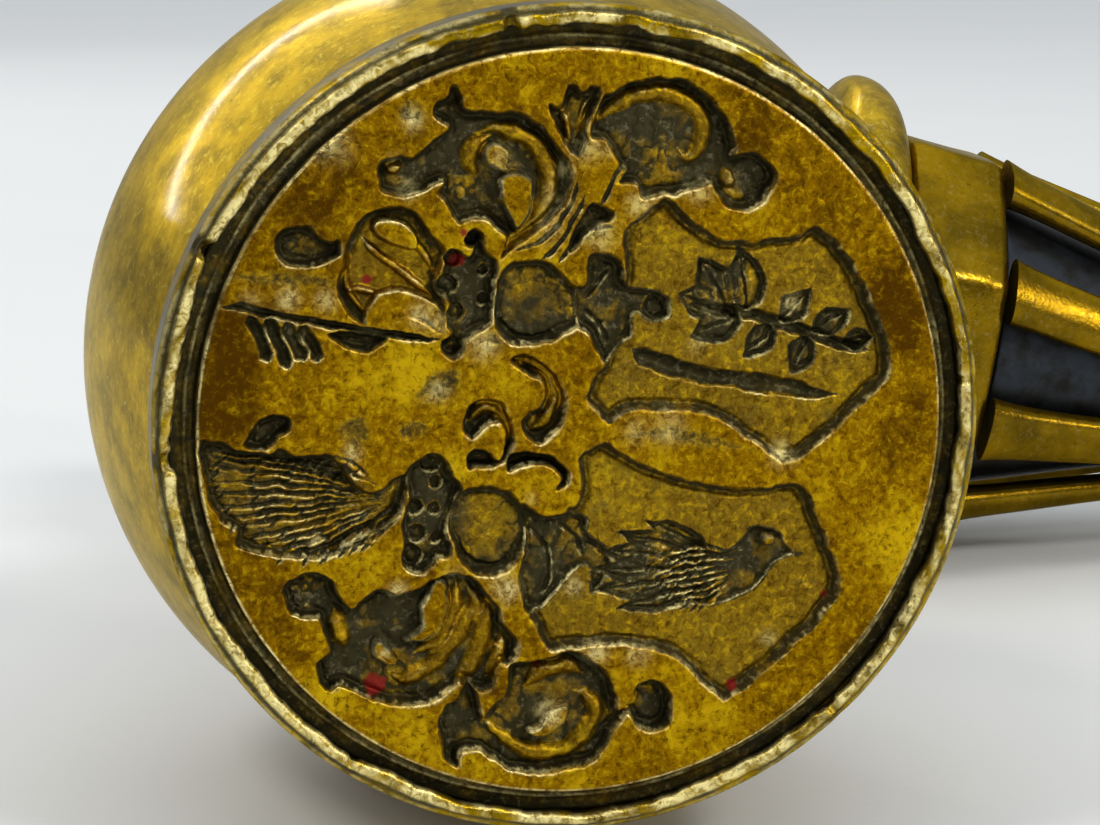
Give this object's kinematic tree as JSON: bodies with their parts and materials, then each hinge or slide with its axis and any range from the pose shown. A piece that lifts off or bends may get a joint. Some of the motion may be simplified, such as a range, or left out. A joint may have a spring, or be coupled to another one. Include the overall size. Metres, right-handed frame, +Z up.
{
  "type": "folding desk seal matrix",
  "caption": "Desk seal for wax: engraved round disc in a bezel on a hollow cushion head, hinged to an openwork caged handle that folds at right angles.",
  "frame": {"origin": "under the middle of the bounding box, on the surface that the folded seal lies on", "axes": "+Z up; the engraved face looks along -Y and the head's axis lies along +Y behind it; the folded handle runs along +X and slopes down to its knob"},
  "size_m": [0.0796, 0.0626, 0.0316],
  "materials": {
    "engraved_brass": "worn engraved brass, dark grime in the cuts",
    "rim_brass": "rubbed bright, nicked",
    "turned_brass": "turned and polished, tarnished",
    "cast_brass": "cast and filed, tarnished",
    "black_iron": "blackened, satin",
    "steel": "dull, filed"
  },
  "bodies": {
    "head": {"matrix_disc": "engraved_brass", "bezel_ring": "rim_brass", "head_drum": "turned_brass", "clamp_stud": "steel", "back_ring": "turned_brass", "back_stalk": "turned_brass", "hinge_block": "cast_brass"},
    "handle": {"clevis": "cast_brass", "hinge_pin": "steel", "pin_rosette_upper": "turned_brass", "pin_rosette_lower": "turned_brass", "neck_baluster": "turned_brass", "guard_collar": "turned_brass", "neck_block": "cast_brass", "cage_bar_1": "cast_brass", "cage_bar_2": "cast_brass", "cage_bar_3": "cast_brass", "cage_bar_4": "cast_brass", "cage_bar_5": "cast_brass", "cage_bar_6": "cast_brass", "cage_bar_7": "cast_brass", "cage_bar_8": "cast_brass", "core_barrel": "black_iron", "handle_tang": "steel", "end_collar": "turned_brass", "end_knob": "turned_brass", "end_nut": "turned_brass"}
  },
  "joints": [
    {"name": "handle_fold", "type": "hinge", "parent": "head", "child": "handle", "pos_m": [-0.024, 0.02101, 0.01578], "axis": [0.1643, 0, 0.9864], "range_deg": [0, 95]}
  ]
}
